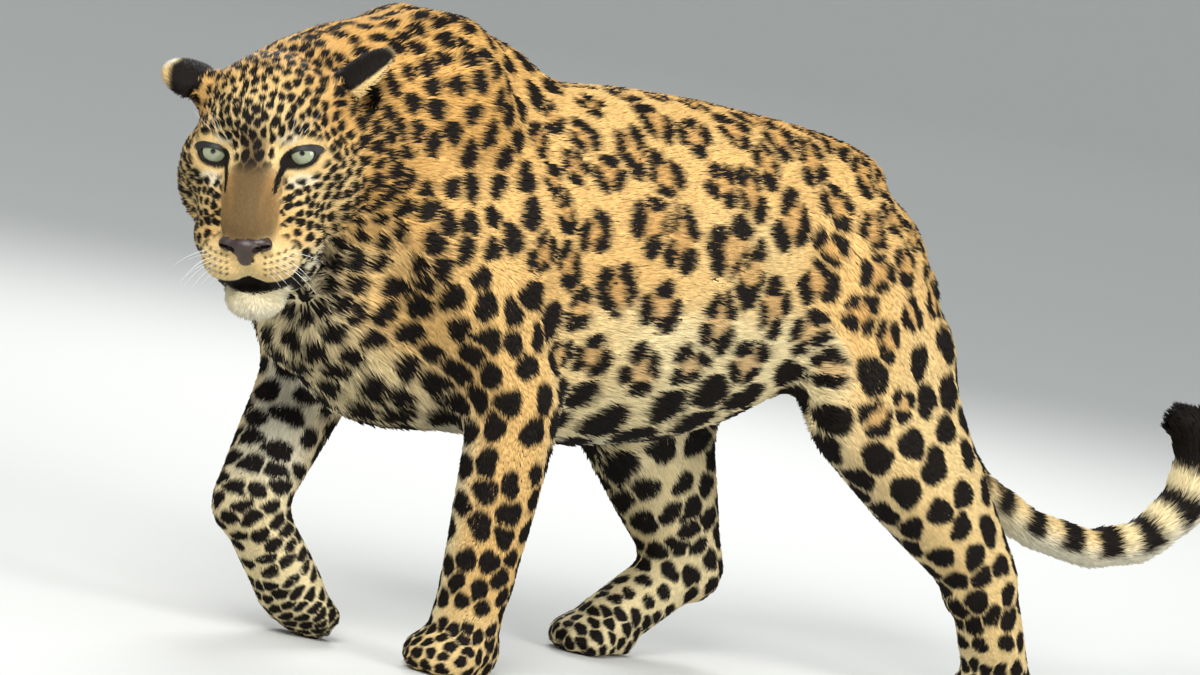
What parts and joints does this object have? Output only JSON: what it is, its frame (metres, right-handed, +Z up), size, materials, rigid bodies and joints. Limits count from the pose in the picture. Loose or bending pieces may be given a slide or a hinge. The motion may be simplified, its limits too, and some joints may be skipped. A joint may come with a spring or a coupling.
{
  "type": "leopard",
  "caption": "Life-size still model of a walking leopard, head turned to its left, spotted golden coat, long tail curled up at the end.",
  "frame": {"origin": "on the floor, under the middle of the whole animal's bounding box", "axes": "the animal faces -Y, its left side is +X, and +Z is up"},
  "size_m": [0.3332, 1.642, 0.699],
  "materials": {
    "tawny_coat": "short golden-orange fur with dark rosettes, matt",
    "pale_coat": "short pale yellow fur with solid dark spots, matt",
    "paw_coat": "very short cream fur with small dark spots, matt",
    "tail_coat": "fur with dark blotches and bands, pale below, matt",
    "black_coat": "near-black fur, matt",
    "nose_leather": "bare moist skin, dark mauve brown",
    "eye": "wet and glossy, pale grey-green iris"
  },
  "bodies": {
    "root": {"barrel": "tawny_coat", "chest": "tawny_coat", "ear_left": "black_coat", "ear_right": "black_coat", "eye_left": "eye", "eye_right": "eye", "fore_paw_left": "paw_coat", "fore_paw_right": "paw_coat", "forearm_left": "pale_coat", "forearm_right": "pale_coat", "head": "tawny_coat", "hind_foot_left": "paw_coat", "hind_foot_right": "paw_coat", "hips": "tawny_coat", "jaw": "pale_coat", "neck": "tawny_coat", "nose": "nose_leather", "shank_left": "pale_coat", "shank_right": "pale_coat", "tail_1": "tail_coat", "tail_2": "tail_coat", "tail_3": "tail_coat", "tail_4": "black_coat", "thigh_left": "tawny_coat", "thigh_right": "tawny_coat"}
  },
  "joints": []
}
